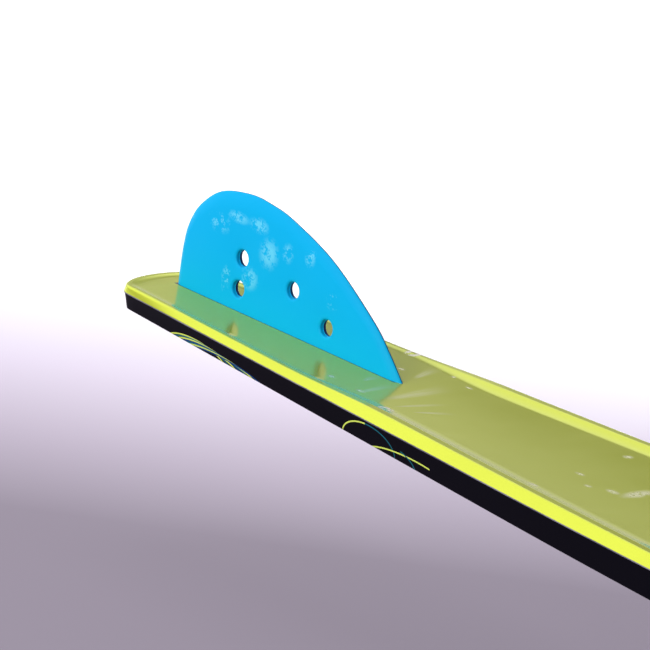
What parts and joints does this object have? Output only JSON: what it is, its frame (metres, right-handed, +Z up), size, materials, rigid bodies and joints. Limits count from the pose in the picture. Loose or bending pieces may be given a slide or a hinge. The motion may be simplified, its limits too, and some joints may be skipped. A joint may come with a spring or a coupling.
{
  "type": "water ski pair",
  "caption": "Pair of combination water skis lying base up: moulded fin with flow holes, rails, rubber toe piece and sliding heel piece under each, rear toe loop under one.",
  "frame": {"origin": "on the floor, under the middle of the pair as it lies base up", "axes": "+X towards the tips, +Y from ski a to ski b, +Z up, away from the floor"},
  "size_m": [1.6988, 0.6182, 0.1888],
  "materials": {
    "base": "gloss",
    "foam": "matte",
    "cap": "gloss",
    "fin": "satin",
    "steel": "satin",
    "brass": "satin",
    "plate": "satin",
    "pad": "matte",
    "overlay": "matte",
    "frame": "matte",
    "carriage": "matte",
    "lever": "satin"
  },
  "bodies": {
    "ski_a": {"base_plate_a": "base", "foam_core_a": "foam", "top_cap_a": "cap", "fin_a": "fin", "fin_washers_a": "steel", "fin_screws_a": "steel", "binding_inserts_a": "brass", "rear_inserts_a": "brass", "binding_plate_a": "plate", "plate_screws_a": "steel", "toe_pad_a": "pad", "toe_overlay_a": "overlay", "toe_frames_a": "frame", "toe_screws_a": "steel"},
    "ski_b": {"base_plate_b": "base", "foam_core_b": "foam", "top_cap_b": "cap", "fin_b": "fin", "fin_washers_b": "steel", "fin_screws_b": "steel", "binding_inserts_b": "brass", "rear_inserts_b": "brass", "binding_plate_b": "plate", "plate_screws_b": "steel", "toe_pad_b": "pad", "toe_overlay_b": "overlay", "toe_frames_b": "frame", "toe_screws_b": "steel", "rear_plate_b": "plate", "rear_pad_b": "pad", "rear_strap_b": "overlay", "rear_frames_b": "frame", "rear_strap_screws_b": "steel", "rear_plate_screws_b": "steel"},
    "heel_a": {"heel_slide_a": "carriage", "heel_pad_a": "pad", "heel_cup_a": "overlay", "heel_frame_a": "frame", "heel_screws_a": "steel", "lever_pin_a": "steel"},
    "heel_b": {"heel_slide_b": "carriage", "heel_pad_b": "pad", "heel_cup_b": "overlay", "heel_frame_b": "frame", "heel_screws_b": "steel", "lever_pin_b": "steel"},
    "lever_a": {"lock_lever_a": "lever"},
    "lever_b": {"lock_lever_b": "lever"}
  },
  "joints": [
    {"name": "ski_spread", "type": "slide", "parent": "ski_a", "child": "ski_b", "axis": [0, 1, 0], "range_m": [-0.2, 0.3]},
    {"name": "heel_slide_a", "type": "slide", "parent": "ski_a", "child": "heel_a", "axis": [1, 0, 0], "range_m": [-0.025, 0.025]},
    {"name": "lock_lever_a", "type": "hinge", "parent": "heel_a", "child": "lever_a", "pos_m": [-0.12777, -0.225, 0.0895], "axis": [0, -1, 0], "range_deg": [0, 75]},
    {"name": "heel_slide_b", "type": "slide", "parent": "ski_b", "child": "heel_b", "axis": [1, 0, 0], "range_m": [-0.025, 0.025]},
    {"name": "lock_lever_b", "type": "hinge", "parent": "heel_b", "child": "lever_b", "pos_m": [-0.12777, 0.225, 0.0895], "axis": [0, -1, 0], "range_deg": [0, 75]}
  ]
}
